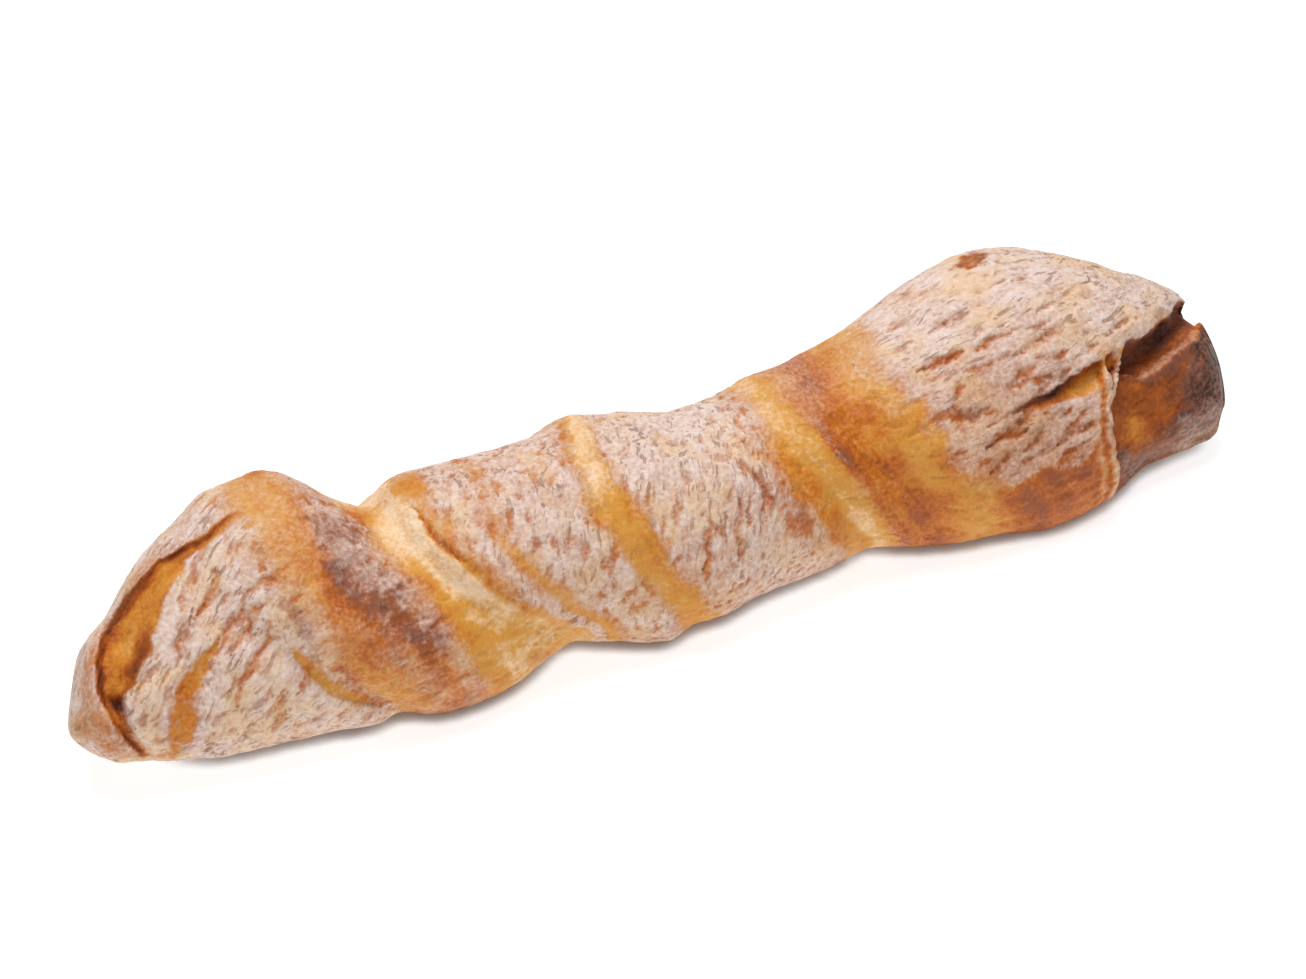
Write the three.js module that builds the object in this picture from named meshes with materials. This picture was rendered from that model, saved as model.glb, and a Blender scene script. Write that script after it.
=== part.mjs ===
// Twist bread: one strip of floured dough, turned on itself, baked and lying on its side.
// Millimetres, +Z up, +X along the loaf. The broad floured faces look up and to the front, towards -Y.

import * as THREE from "three";
import { mergeVertices } from "three/addons/utils/BufferGeometryUtils.js";

// Driving dimensions
const LENGTH = 360;
const TIP_LENGTH = 11;
const AXIS_HEIGHT = 27;
const FACE_TILT = THREE.MathUtils.degToRad(45);

// Fineness of the crust
const POINTS_AROUND = 54;
const FRONT_CROWDING = 0.3;
const RINGS_ALONG = 110;
const TIP_SHARE = 0.06;
const RING_LEAN = 14;
const LEAN_START = 145;
const LEAN_FULL = 85;
const MERGE_DISTANCE = 1e-3;

// The loaf's girth at places along it: half width up the face, half depth through it, shift up the face
const GIRTH = [
  { x: -180, width: 7, depth: 12, shift: -10 },
  { x: -169, width: 16.8, depth: 16.5, shift: -4.6 },
  { x: -160, width: 21.2, depth: 18.7, shift: -3 },
  { x: -151, width: 26.8, depth: 21, shift: 0 },
  { x: -134, width: 33.6, depth: 24.5, shift: 3.8 },
  { x: -124, width: 36.2, depth: 26, shift: 6 },
  { x: -116, width: 36.3, depth: 27, shift: 5.2 },
  { x: -101, width: 36.4, depth: 28.5, shift: 3.8 },
  { x: -84, width: 34.6, depth: 29.5, shift: -1.3 },
  { x: -59, width: 33.6, depth: 29.5, shift: -2.4 },
  { x: -31, width: 30.2, depth: 29, shift: 0.5 },
  { x: -1, width: 33.5, depth: 29, shift: -3.2 },
  { x: 14, width: 30, depth: 28.5, shift: -3.6 },
  { x: 22, width: 29.6, depth: 28.2, shift: -2.2 },
  { x: 32, width: 30.6, depth: 28, shift: -0.4 },
  { x: 49, width: 30.4, depth: 28, shift: 0 },
  { x: 58, width: 32.4, depth: 28, shift: 1 },
  { x: 71, width: 32.9, depth: 28.5, shift: 0.6 },
  { x: 81, width: 36.2, depth: 29, shift: 0.3 },
  { x: 96, width: 38.5, depth: 29.5, shift: 3.3 },
  { x: 115, width: 41.5, depth: 29.5, shift: 3 },
  { x: 133, width: 38.4, depth: 28, shift: 2.1 },
  { x: 149, width: 31.2, depth: 25, shift: 0.9 },
  { x: 157, width: 28.3, depth: 23.2, shift: -1.4 },
  { x: 163, width: 26.6, depth: 21.6, shift: -2.6 },
  { x: 167.5, width: 24.8, depth: 20.4, shift: -4 },
  { x: 171.6, width: 23.3, depth: 19.5, shift: -5.4 },
  { x: 172.6, width: 22.9, depth: 19.2, shift: -5.7 },
  { x: 174, width: 17.1, depth: 18.6, shift: -10 },
  { x: 175.3, width: 17.4, depth: 18.2, shift: -9.3 },
  { x: 177, width: 18.6, depth: 17.6, shift: -8.1 },
  { x: 178.5, width: 22.3, depth: 17.5, shift: -6.4 },
  { x: 180, width: 19.5, depth: 18, shift: -6.5 },
];

// Creases of the twist, in order along the loaf. One crosses the middle of the front at `middle`, runs on by
// `run` each way to the top and bottom outlines and curves by `bend`. `top` and `bottom` are its depths at
// those outlines, where a depth below 0 stands proud. `before` and `after` are the widths of its two flanks.
// Behind, it comes up as the next but one.
const CREASES = [
  { middle: -182, run: 15, bend: 20, top: 0, bottom: 0, before: 8, after: 8 },
  { middle: -132, run: 20, bend: 24, top: 0, bottom: 3.5, before: 6, after: 7 },
  { middle: -71, run: 22.75, bend: 13.75, top: 6.8, bottom: 2, before: 16, after: 6 },
  { middle: -21, run: 9, bend: 13, top: -2.5, bottom: 3, before: 6, after: 7 },
  { middle: 39, run: 14, bend: 7, top: 3, bottom: 3.5, before: 9, after: 8 },
  { middle: 60, run: 11, bend: 10, top: 2.5, bottom: 2.5, before: 9, after: 10 },
];
const FADE_ADVANCE = 110;

// Folded edges of the strip that stand proud of the front, placed as the creases are
const FOLDS = [
  { middle: -110, run: 8, bend: 11, top: 3, bottom: 1, before: 13, after: 10 },
  { middle: 78, run: 11, bend: 4, top: 1, bottom: 1, before: 9, after: 14 },
];
const FOLD_START = -0.25;
const FOLD_END = 0.1;

// Open tears at the two ends of the strip, and the slit that runs on from the right one, as points along the
// loaf and down its face. Shares run along a tear from its first point to its last.
const LEFT_TEAR = {
  path: [
    [-112, -38],
    [-131, -31],
    [-146, -26.5],
    [-159, -18],
    [-167, -10],
    [-172, 1],
    [-171.5, 9],
    [-168, 16.5],
    [-163, 24],
  ],
  wallFrom: -1.2,
  wallTo: 3,
  leastWidth: 3.2,
  addedWidth: 10.3,
  widestAt: 0.5,
  widestOver: 0.2,
  floorShare: 0.35,
  leastDepth: 3.5,
  addedDepth: 2.5,
  deepestAt: 0.55,
  deepestOver: 0.3,
  fadeFrom: 0.02,
  fadeTo: 0.2,
  footFrom: 0.88,
  footDepth: 0.5,
};
const RIGHT_TEAR = {
  path: [
    [186, -19],
    [172, -13.5],
    [155, -7.5],
    [144, -4.8],
    [138, 0],
    [134.5, 8],
    [133, 17],
    [134, 30],
    [136, 46],
  ],
  start: 108,
  step: 5.5,
  wallFrom: -0.3,
  wallTo: 2.6,
  cavityWidth: 9.2,
  cavityDepth: 6.5,
  shutsFrom: 0.42,
  shutsBy: 0.56,
  shutWidth: 0.5,
  openWidth: 3,
  rimHeight: 1.2,
  rimWidth: 1.3,
  rollHeight: 1.5,
  rollWidth: 2,
};
const SLIT = {
  path: [
    [141, -5],
    [134, -3.6],
    [127.6, -2],
    [121, -0.6],
    [115, 1.3],
    [105, 2.7],
    [97, 4],
  ],
  wallFrom: -1,
  wallTo: 1.8,
  startWidth: 7.2,
  endWidth: 2.4,
  narrowsFrom: 0.4,
  narrowsBy: 0.95,
  floorShare: 0.4,
  startDepth: 3.8,
  endDepth: 0.8,
  fade: 0.1,
};
const TEAR_STEPS = 48;
const FRONT_DEPTH = 9;

// The widest cracks in the floured crust: ends along the loaf and down its face, depth, half width
const CRACKS = [
  { from: [-128, -10], to: [-140, 3], depth: 0.8, width: 2.4 },
  { from: [-138, -2.5], to: [-150.8, 10.8], depth: 1.6, width: 2.4 },
  { from: [-150.8, 10.8], to: [-156, 26], depth: 1.6, width: 2.4 },
  { from: [81, -15], to: [94, -18], depth: 1.4, width: 2.4 },
  { from: [84, 1], to: [97, 0], depth: 1.2, width: 2.4 },
  { from: [92, 10], to: [106, 9], depth: 1.3, width: 2.4 },
  { from: [118, -20], to: [142, -27], depth: 0.9, width: 2.4 },
];

const { clamp, lerp, smoothstep } = THREE.MathUtils;

/** A smooth bump of height 1 that falls away over a width. */
function bell(distance, width) {
  return Math.exp(-((distance / width) ** 2));
}

/** A smooth curve through one measure of the girth, as a function of the place along the loaf. */
function girthCurve(measure) {
  const places = GIRTH.map((row) => row.x);
  const values = GIRTH.map((row) => row[measure]);
  const curve = new THREE.CubicInterpolant(places, values, 1);
  return (x) => curve.evaluate(x)[0];
}

const girth = {
  width: girthCurve("width"),
  depth: girthCurve("depth"),
  shift: girthCurve("shift"),
};

/** Place along the loaf of a ring, and its share of the full girth, which closes to a round tip. */
function ringAt(share) {
  const nearest = Math.min(share, 1 - share);
  const half = LENGTH / 2;
  if (nearest < TIP_SHARE) {
    const turn = ((nearest / TIP_SHARE) * Math.PI) / 2;
    const reach = half - TIP_LENGTH * (1 - Math.cos(turn));
    return { x: share < TIP_SHARE ? -reach : reach, full: Math.sin(turn) };
  }
  const inner = half - TIP_LENGTH;
  return { x: lerp(-inner, inner, (share - TIP_SHARE) / (1 - 2 * TIP_SHARE)), full: 1 };
}

/** Place along the loaf of a crease, at -1 on the top outline to 1 on the bottom one. */
function creaseAt(crease, across) {
  return crease.middle + crease.run * across + crease.bend * across ** 2;
}

/** Depth of one crease's flank at a distance from its line. */
function flank(distance, before, after, depth) {
  return depth * bell(distance, distance < 0 ? before : after);
}

/** Depth cut by all the creases of the twist. */
function creaseCut(x, angle) {
  const across = -Math.cos(angle);
  const inFront = Math.sin(angle) >= 0;
  const behind = inFront ? 0 : (1 - across) / 2;
  let cut = 0;
  CREASES.forEach((crease, i) => {
    const next = CREASES[i + 2] ?? { ...crease, middle: crease.middle + FADE_ADVANCE, top: 0 };
    const line = lerp(creaseAt(crease, across), creaseAt(next, across), behind);
    const depth = inFront
      ? lerp(crease.top, crease.bottom, (1 + across) / 2)
      : lerp(crease.bottom, next.top, behind);
    const before = lerp(crease.before, next.before, behind);
    const after = lerp(crease.after, next.after, behind);
    cut += flank(x - line, before, after, depth);
  });
  return cut;
}

/** Height of the folded edges, which fade out towards the back. */
function foldRise(x, angle) {
  const across = -Math.cos(angle);
  const shown = smoothstep(Math.sin(angle), FOLD_START, FOLD_END);
  return FOLDS.reduce((rise, fold) => {
    const height = lerp(fold.top, fold.bottom, (1 + across) / 2);
    return rise + shown * flank(x - creaseAt(fold, across), fold.before, fold.after, height);
  }, 0);
}

/** A tear's path as a line of short steps. */
function tearLine(tear) {
  const corners = tear.path.map(([x, down]) => new THREE.Vector2(x, down));
  return new THREE.SplineCurve(corners).getPoints(TEAR_STEPS);
}

const leftLine = tearLine(LEFT_TEAR);
const rightLine = tearLine(RIGHT_TEAR);
const slitLine = tearLine(SLIT);

/** Distance of a point of the face from a stretch, the point's side of it, and the share along it. */
function fromStretch(point, start, end) {
  const stretch = end.clone().sub(start);
  const offset = point.clone().sub(start);
  const share = clamp(offset.dot(stretch) / stretch.lengthSq(), 0, 1);
  const side = -Math.sign(stretch.cross(offset));
  return { distance: offset.addScaledVector(stretch, -share).length(), side, share };
}

/** Distance of a point of the face from a tear, positive inside it, and the share along the tear. */
function fromTear(point, line) {
  let nearest = { distance: Infinity };
  let share = 0;
  for (let i = 0; i + 1 < line.length; i++) {
    const step = fromStretch(point, line[i], line[i + 1]);
    if (step.distance < nearest.distance) {
      nearest = step;
      share = (i + step.share) / (line.length - 1);
    }
  }
  return { inside: nearest.distance * nearest.side, share };
}

/** Depth of the tear round the left end: a wall under the rim, and a floor that climbs to the face. */
function leftTearCut(point) {
  const tear = LEFT_TEAR;
  const { inside, share } = fromTear(point, leftLine);
  const depth = tear.leastDepth + tear.addedDepth * bell(share - tear.deepestAt, tear.deepestOver);
  const width = tear.leastWidth + tear.addedWidth * bell(share - tear.widestAt, tear.widestOver);
  const wall = smoothstep(inside, tear.wallFrom, tear.wallTo);
  const floor = 1 - smoothstep(inside, tear.floorShare * width, width);
  const start = smoothstep(share, tear.fadeFrom, tear.fadeTo);
  const foot = lerp(1, tear.footDepth, smoothstep(share, tear.footFrom, 1));
  return depth * wall * floor * start * foot;
}

/** Depth of the right end's lobe below the flap and of the cavity between them, which shuts along the flap. */
function rightTearCut(point) {
  const tear = RIGHT_TEAR;
  if (point.x < tear.start) return 0;
  const { inside, share } = fromTear(point, rightLine);
  const width = tear.cavityWidth * (1 - smoothstep(share, tear.shutsFrom, tear.shutsBy));
  const open = smoothstep(width, tear.shutWidth, tear.openWidth);
  const lobe = tear.step * smoothstep(inside, tear.wallFrom, tear.wallTo);
  const cavity = tear.cavityDepth * bell(inside - width / 2, Math.max(width / 2, tear.shutWidth));
  const rim = tear.rimHeight * bell(inside - width - tear.rimWidth, tear.rimWidth);
  const roll = tear.rollHeight * bell(inside + tear.rollWidth, tear.rollWidth);
  return lobe + open * (cavity - rim) - roll;
}

/** Depth of the slit that runs on from the cavity, narrower and shallower as it goes. */
function slitCut(point) {
  const { inside, share } = fromTear(point, slitLine);
  const width = lerp(SLIT.startWidth, SLIT.endWidth, smoothstep(share, SLIT.narrowsFrom, SLIT.narrowsBy));
  const depth = lerp(SLIT.startDepth, SLIT.endDepth, share);
  const wall = smoothstep(inside, SLIT.wallFrom, SLIT.wallTo);
  const floor = 1 - smoothstep(inside, SLIT.floorShare * width, width);
  const ends = smoothstep(Math.min(share, 1 - share), 0, SLIT.fade);
  return depth * wall * floor * ends;
}

/** Depth of the widest cracks in the floured faces, the deepest where they meet. */
function crackCut(point) {
  return CRACKS.reduce((cut, crack) => {
    const { distance } = fromStretch(
      point,
      new THREE.Vector2(...crack.from),
      new THREE.Vector2(...crack.to),
    );
    return Math.max(cut, crack.depth * bell(distance, crack.width));
  }, 0);
}

/** Place along the loaf of a ring's point: between the ends the rings lean as the creases do. */
function leaningPlace(x, angle) {
  const lean = RING_LEAN * (1 - smoothstep(Math.abs(x), LEAN_FULL, LEAN_START));
  return x - lean * Math.cos(angle);
}

/** A point of the crust, from its ring's share of the length and its angle round it from the top outline. */
function crustPoint(ringShare, angle) {
  const ring = ringAt(ringShare);
  const full = ring.full;
  const x = leaningPlace(ring.x, angle);
  const relief = foldRise(x, angle) - creaseCut(x, angle);
  const up = (girth.width(x) + relief) * full * Math.cos(angle) + girth.shift(x);
  let out = (girth.depth(x) + relief) * full * Math.sin(angle);
  const onFace = new THREE.Vector2(x, -up);
  const faceCut = leftTearCut(onFace) + rightTearCut(onFace) + slitCut(onFace) + crackCut(onFace);
  out -= faceCut * smoothstep(out, 0, FRONT_DEPTH);
  const y = up * Math.cos(FACE_TILT) - out * Math.sin(FACE_TILT);
  const z = AXIS_HEIGHT + up * Math.sin(FACE_TILT) + out * Math.cos(FACE_TILT);
  return new THREE.Vector3(x, y, Math.max(z, 0));
}

/** Angle round the loaf from the top outline, from the turn round the ball: points are closest on the front. */
function angleAround(turn) {
  return turn - FRONT_CROWDING * Math.sin(turn) + Math.PI / 2;
}

/** The loaf as a ball whose points are moved to the crust, with its middle over the origin. */
function loafGeometry() {
  const ball = new THREE.SphereGeometry(1, POINTS_AROUND, RINGS_ALONG);
  ball.deleteAttribute("normal");
  ball.deleteAttribute("uv");
  const points = ball.attributes.position;
  const point = new THREE.Vector3();
  for (let i = 0; i < points.count; i++) {
    point.fromBufferAttribute(points, i);
    const ringShare = 1 - Math.acos(clamp(point.y, -1, 1)) / Math.PI;
    const turn = Math.atan2(point.x, point.z);
    const placed = crustPoint(ringShare, angleAround(turn));
    points.setXYZ(i, placed.x, placed.y, placed.z);
  }
  const loaf = mergeVertices(ball, MERGE_DISTANCE);
  loaf.computeBoundingBox();
  const middle = loaf.boundingBox.getCenter(new THREE.Vector3());
  loaf.translate(-middle.x, -middle.y, 0);
  loaf.computeVertexNormals();
  return loaf;
}

const crust = new THREE.MeshStandardMaterial({ color: 0xd8ac7c, roughness: 0.85, metalness: 0 });
const loaf = new THREE.Mesh(loafGeometry(), crust);
loaf.name = "loaf";

const twistBread = new THREE.Group();
twistBread.name = "twist_bread";
twistBread.add(loaf);

export default twistBread;
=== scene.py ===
"""Looks of a twist bread: one strip of floured dough, turned on itself, baked and lying on its side.

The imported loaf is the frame. Its crust is modelled again at a fine scale, with the creases of the twist, the
bare folds, the torn ends and the cracks in the flour, and gets a procedural finish under soft studio light.
Lengths of the loaf are in millimetres here, and are turned into metres where a mesh is written.
"""

from __future__ import annotations

import logging
import math
from collections.abc import Mapping, Sequence
from dataclasses import dataclass, replace
from enum import Enum

import bmesh
import bpy
import numpy as np
from mathutils import Matrix, Vector, noise


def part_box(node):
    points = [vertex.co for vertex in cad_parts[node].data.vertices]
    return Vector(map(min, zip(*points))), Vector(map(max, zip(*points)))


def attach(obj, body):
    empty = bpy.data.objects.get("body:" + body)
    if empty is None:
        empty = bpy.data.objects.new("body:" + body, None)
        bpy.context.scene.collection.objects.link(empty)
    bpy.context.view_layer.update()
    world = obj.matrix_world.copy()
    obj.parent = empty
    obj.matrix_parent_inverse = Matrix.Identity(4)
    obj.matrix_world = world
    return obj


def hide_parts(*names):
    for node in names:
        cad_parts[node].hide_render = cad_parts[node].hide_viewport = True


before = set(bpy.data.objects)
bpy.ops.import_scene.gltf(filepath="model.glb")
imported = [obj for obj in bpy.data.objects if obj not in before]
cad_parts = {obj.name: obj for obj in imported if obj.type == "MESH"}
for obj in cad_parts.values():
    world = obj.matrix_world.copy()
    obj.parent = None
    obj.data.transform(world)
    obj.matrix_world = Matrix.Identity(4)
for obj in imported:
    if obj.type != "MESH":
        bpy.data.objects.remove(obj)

LOG = logging.getLogger("twist_bread")
Array = np.ndarray
Number = float | np.ndarray
Span = tuple[Number, Number]

MM = 0.001
CAD_NODE = "loaf"
CAD_BODY = "root"
PHOTO_SIZE = (1306, 979)
FACE_TILT = math.radians(45.0)
CREASES_A_TURN = 2
HUNDRED = 100.0


class Mask(Enum):
    """What is painted on the crust, each in a named attribute of the mesh."""

    FLOUR = "flour"
    BAKE_AND_SHADE = "bake"
    # Bake also carries painted shade: the tears, the cavity, the slit's edge, the lobe and the underside are
    # darkened in it.
    CRUMB = "crumb"
    LIE = "lie"


def smooth(value: Array, low: Number, high: Number) -> Array:
    """A soft step from 0 at low to 1 at high."""
    share = np.clip((value - low) / (high - low), 0.0, 1.0)
    return share * share * (3.0 - 2.0 * share)


def between(value: Array, rise: Span, fall: Span) -> Array:
    """A soft stretch of 1 that comes up over rise and goes down over fall."""
    return smooth(value, *rise) * (1.0 - smooth(value, *fall))


def bell(distance: Array, width: Number) -> Array:
    """A soft bump of height 1 that falls away over a width."""
    return np.exp(-((distance / width) ** 2))


def blend(first: Number, second: Number, share: Array) -> Array:
    """A value between two others."""
    return first + (second - first) * share


def curve_through(places: Array, values: Array, at: Array) -> Array:
    """A smooth curve through values at places.

    Args:
        places: Rising places of the values.
        values: Value at each place.
        at: Places to read the curve at.

    Returns:
        The curve's value at each place asked for.
    """
    slopes = np.gradient(values, places)
    at = np.clip(at, places[0], places[-1])
    index = np.clip(np.searchsorted(places, at) - 1, 0, len(places) - 2)
    span = places[index + 1] - places[index]
    t = (at - places[index]) / span
    start = (1 + 2 * t) * (1 - t) ** 2 * values[index] + t * (1 - t) ** 2 * span * slopes[index]
    end = t**2 * (3 - 2 * t) * values[index + 1] + t**2 * (t - 1) * span * slopes[index + 1]
    return start + end


@dataclass(frozen=True)
class Grain:
    """Natural unevenness of dough, the same on every run.

    It has a seed, the length of a lump along each of three directions, and a number of layers, each finer.
    """

    seed: float
    size: tuple[float, float, float]
    layers: int = 2
    # The same for all grains.
    softness = 0.9
    finer_by = 2.0

    def lumps(self, points: Array) -> Array:
        """Height of the lumps at places, about -1 to 1."""
        scaled = (points / np.asarray(self.size) + self.seed).tolist()
        return np.array([noise.fractal(p, self.softness, self.finer_by, self.layers) for p in scaled])


@dataclass(frozen=True)
class Station:
    """Girth of the loaf at a place: half width up the face, half depth through it, shift up the face."""

    x: float
    width: float
    depth: float
    shift: float


@dataclass(frozen=True)
class Crease:
    """A line of the twist across the front.

    It crosses the middle of the front at middle, runs on by run each way to the top and bottom outlines and
    curves by bend. Its depth is top and bottom at those outlines, and its flanks are before and after wide.
    """

    middle: float
    run: float
    bend: float
    top: float
    bottom: float
    before: float
    after: float

    def line(self, across: Array) -> Array:
        """Place along the loaf, at -1 on the top outline to 1 on the bottom one."""
        return self.middle + self.run * across + self.bend * across**2

    def depth(self, across: Array) -> Array:
        """Depth of the crease between the outlines."""
        return blend(self.top, self.bottom, (1.0 + across) / 2.0)

    def flank(self, gap: Array) -> Array:
        """Width of the flank that a point at a distance from the line is on."""
        return np.where(gap < 0.0, self.before, self.after)


@dataclass(frozen=True)
class Tone:
    """How a part of the crust looks: its flour, its bake, how far it is crumb, and how well it covers."""

    flour: Number
    bake: Number
    crumb: Number = 0.0
    strength: float = 1.0

    def uneven(self, flour: Number = 0.0, bake: Number = 0.0) -> Tone:
        """The tone with more or less flour and bake at each point."""
        return replace(self, flour=self.flour + flour, bake=self.bake + bake)


@dataclass
class Paint:
    """What is painted on the crust so far, one value for each point."""

    flour: Array
    bake: Array
    crumb: Array

    def lay(self, share: Array, tone: Tone) -> None:
        """Lays a tone over what is there.

        Args:
            share: How far each point takes the tone.
            tone: The new tone.
        """
        cover = tone.strength * share
        self.flour = blend(self.flour, tone.flour, cover)
        self.bake = blend(self.bake, tone.bake, cover)
        self.crumb = blend(self.crumb, tone.crumb, cover)


@dataclass(frozen=True)
class Band:
    """Flour and bake at a place in the count of creases, in hundredths, at the top, middle and foot. The
    paler, more floured tops are partly painted light from above.
    """

    count: float
    flour: tuple[int, int, int]
    bake: tuple[int, int, int]


@dataclass(frozen=True)
class Patch:
    """A spot of the crust with its own flour and bake, at a place along and down the face."""

    along: float
    down: float
    length: float
    width: float
    turn: float
    flour: float
    bake: float
    # The same for all patches.
    strength = 0.9
    raggedness = 0.75
    soft_edge = (0.6, 1.3)

    def tone(self) -> Tone:
        """The patch's own flour and bake."""
        return Tone(self.flour, self.bake, strength=self.strength)

    def share(self, face: Array, jitter: Array) -> Array:
        """How far each point is inside the patch.

        Args:
            face: Places along, up and out of the face.
            jitter: Unevenness of the edges.

        Returns:
            A share for each point.
        """
        turn = math.radians(self.turn)
        dx = face[:, 0] - self.along
        dy = face[:, 1] + self.down
        long_way = (dx * math.cos(turn) + dy * math.sin(turn)) / self.length
        short_way = (dy * math.cos(turn) - dx * math.sin(turn)) / self.width
        return 1.0 - smooth(np.hypot(long_way, short_way) + self.raggedness * jitter, *self.soft_edge)


@dataclass(frozen=True)
class Near:
    """Where points are from a tear: their distance, positive inside it, and their share along it."""

    gap: Array
    share: Array


@dataclass(frozen=True)
class Tear:
    """A line along and down the face, along which the crust is torn."""

    path: tuple[tuple[float, float], ...]
    # The same for all tears of a kind.
    steps = 48
    raggedness = 0.0
    unrolled = 110.0
    streak_grain = Grain(71.6, (1.8, 18.0, 1.0))

    def streaks(self, near: Near) -> Array:
        """Streaks of stretched dough along the tear, about -1 to 1."""
        flat = np.stack([near.gap, self.unrolled * near.share, 0.0 * near.gap], axis=1)
        return self.streak_grain.lumps(flat)

    def line(self) -> Array:
        """The path as a smooth line.

        Returns:
            The ends of its short steps, one row each.
        """
        knots = np.arange(len(self.path), dtype=float)
        corners = np.array(self.path, dtype=float)
        at = np.linspace(0.0, knots[-1], self.steps + 1)
        return np.stack([curve_through(knots, corners[:, axis], at) for axis in range(2)], axis=1)

    def nearest(self, along: Array, down: Array, uneven: Number = 0.0) -> Near:
        """Where points are from the tear.

        Args:
            along: Places along the loaf.
            down: Places down the face.
            uneven: Unevenness of the dough, which makes the edge ragged.

        Returns:
            The distance from the tear and the share along it, for each point.
        """
        line = self.line()
        best = np.full(along.shape, np.inf)
        side = np.zeros(along.shape)
        share = np.zeros(along.shape)
        for step, (start, end) in enumerate(zip(line[:-1], line[1:])):
            run = end - start
            dx = along - start[0]
            dy = down - start[1]
            part = np.clip((dx * run[0] + dy * run[1]) / (run @ run), 0.0, 1.0)
            gap = np.hypot(dx - part * run[0], dy - part * run[1])
            nearer = gap < best
            best = np.where(nearer, gap, best)
            side = np.where(nearer, np.sign(run[1] * dx - run[0] * dy), side)
            share = np.where(nearer, (step + part) / self.steps, share)
        return Near(best * side + self.raggedness * uneven, share)


@dataclass(frozen=True)
class Crack(Tear):
    """A crack in the floured crust that tapers to both ends, with its own bake and flour."""

    depth: float
    width: float
    bake: float = 0.74
    flour: float = 0.22
    steps = 12
    end_width = 0.2

    def share(self, along: Array, down: Array) -> Array:
        """How far points are in the crack.

        Args:
            along: Places along the loaf.
            down: Places down the face.

        Returns:
            A share for each point.
        """
        near = self.nearest(along, down)
        taper = blend(self.end_width, 1.0, np.sin(math.pi * near.share))
        return bell(near.gap, self.width * taper)


@dataclass(frozen=True)
class Strand(Tear):
    """A thread of dough that still bridges a tear."""

    width: float = 1.0

    def share(self, along: Array, down: Array) -> Array:
        """How far points are on the strand."""
        return bell(self.nearest(along, down).gap, self.width)


@dataclass(frozen=True)
class CrescentTear(Tear):
    """The curved tear round the left end: a steep wall under its rim, and a floor that climbs to the face."""

    least_width: float = 3.2
    added_width: float = 10.3
    golden_width: float = 1.8
    depth: float = 3.5
    added_depth: float = 2.5
    lip: float = 0.6
    hole_share: float = 0.72
    hole_gap: float = 3.8
    hole_radius: float = 1.7
    hole_depth: float = 3.0
    rim: Tone = Tone(0.37, 0.52, strength=0.85)
    floor: Tone = Tone(0.0, 0.36, 1.0)
    raggedness = 0.7

    def width(self, share: Array) -> Array:
        """Width of the tear, widest half way along."""
        return self.least_width + self.added_width * bell(share - 0.5, 0.2)

    def hole(self, near: Near) -> Array:
        """The small deep hole near the foot of the tear."""
        return bell(near.gap - self.hole_gap, self.hole_radius) * bell(near.share - self.hole_share, 0.06)

    def cut(self, near: Near) -> Array:
        """Depth of the tear.

        Args:
            near: Where the points are from the tear.

        Returns:
            The depth at each point, below 0 on the lip.
        """
        width = self.width(near.share)
        deeper = self.added_depth * bell(near.share - 0.55, 0.3)
        depth = self.depth + deeper + self.hole_depth * self.hole(near)
        trough = between(near.gap, (-1.2, 3.0), (0.35 * width, width))
        lip = self.lip * bell(near.gap + 2.4, 1.8)
        ends = smooth(near.share, 0.02, 0.2) * (1.0 - 0.5 * smooth(near.share, 0.88, 1.0))
        return (depth * trough - lip) * ends

    def paint(self, paint: Paint, near: Near, front: Array, jitter: Array) -> None:
        """Lays the pale rim and the golden floor, with painted shade under the rim and in the hole, browner
        crust partly darkened as painted shade beside the face, and a darker floor towards the foot.

        Args:
            paint: The paint so far.
            near: Where the points are from the tear.
            front: How far each point is on the front.
            jitter: Unevenness of the edges.
        """
        width = self.width(near.share) + self.golden_width * bell(near.share - 0.27, 0.12)
        far_edge = 1.0 - smooth(near.gap + 0.8 * jitter, width - 2.6, width - 0.4)
        ends = between(near.share, (0.02, 0.1), (0.98, 1.0))
        inside = smooth(near.gap, -1.4, 0.2) * far_edge * ends * front
        # Painted shade under the overhanging rim.
        shade_under_rim = bell(near.gap - 0.4, 0.2 * width)
        # Brown crust beside the face, darkened in part as painted shade where the flap edge stands proud.
        brown_shade_beside_face = smooth(near.gap + jitter, 0.5 * width, 0.85 * width) * smooth(near.share, 0.3, 0.46)
        foot = smooth(near.share, 0.78, 0.86)
        # Painted shade under the rim, in the hole and partly beside the face; the floor also darkens towards
        # the foot.
        dark = 0.32 * shade_under_rim + 0.28 * brown_shade_beside_face + 0.72 * self.hole(near) + 0.16 * foot
        rim = between(-near.gap, (0.2, 2.0), (12.0, 18.0)) * smooth(near.share, 0.1, 0.3) * front
        paint.lay(rim, self.rim.uneven(flour=0.2 * jitter))
        paint.lay(inside, self.floor.uneven(bake=dark + 0.1 * jitter + 0.1 * self.streaks(near)))


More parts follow.
